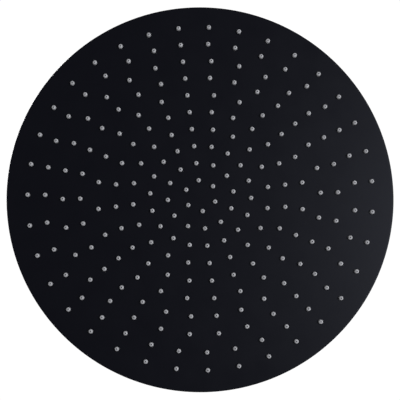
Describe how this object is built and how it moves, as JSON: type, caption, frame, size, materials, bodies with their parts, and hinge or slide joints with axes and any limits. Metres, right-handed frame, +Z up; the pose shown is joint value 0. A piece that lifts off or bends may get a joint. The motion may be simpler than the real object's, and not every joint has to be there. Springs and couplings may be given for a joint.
{
  "type": "rain shower head",
  "caption": "Round flat rain shower head in matt black, with rings of grey silicone nozzles, hung from a ball swivel with a female pipe thread.",
  "frame": {"origin": "centre of the inlet's mouth, on the swivel's axis, where the supply pipe screws in", "axes": "+Z up along the supply pipe, so the spray face looks along -Z; +Y along the spoke that every ring of nozzles starts on; X is the swivel's tilting axis"},
  "size_m": [0.3, 0.3, 0.0691],
  "materials": {
    "face": "satin black, faintly textured",
    "shell": "satin black moulding",
    "silicone": "matt grey silicone",
    "seal": "black rubber",
    "screw": "plain stainless steel",
    "brass": "machined brass",
    "painted_brass": "satin black coating on brass",
    "liner": "off-white acetal",
    "gauze": "fine stainless gauze"
  },
  "bodies": {
    "inlet": {"ball_stem": "painted_brass", "inlet_washer": "seal", "inlet_filter": "gauze", "flow_regulator": "liner", "regulator_seal": "seal"},
    "swivel_ring": {"friction_ring": "liner"},
    "swivel_seal": {"ball_seal": "seal"},
    "head": {"collar_nut": "painted_brass", "hub": "brass", "hub_seal": "seal", "hub_lock_nut": "painted_brass", "back_cover": "shell", "cover_screw_01": "screw", "cover_screw_02": "screw", "cover_screw_03": "screw", "cover_screw_04": "screw", "cover_screw_05": "screw", "cover_screw_06": "screw", "cover_screw_07": "screw", "cover_screw_08": "screw", "rim_seal": "seal", "clamp_ring": "shell", "nozzle_mat": "silicone", "face_plate": "face"}
  },
  "joints": [
    {"name": "swivel_turn", "type": "hinge", "parent": "inlet", "child": "swivel_ring", "pos_m": [0, 0, -0.035], "axis": [0, 0, 1], "continuous": true},
    {"name": "swivel_tilt", "type": "hinge", "parent": "swivel_ring", "child": "swivel_seal", "pos_m": [0, 0, -0.035], "axis": [1, 0, 0], "range_deg": [-15, 15]},
    {"name": "head_spin", "type": "hinge", "parent": "swivel_seal", "child": "head", "pos_m": [0, 0, -0.035], "axis": [0, 0, 1], "continuous": true}
  ]
}
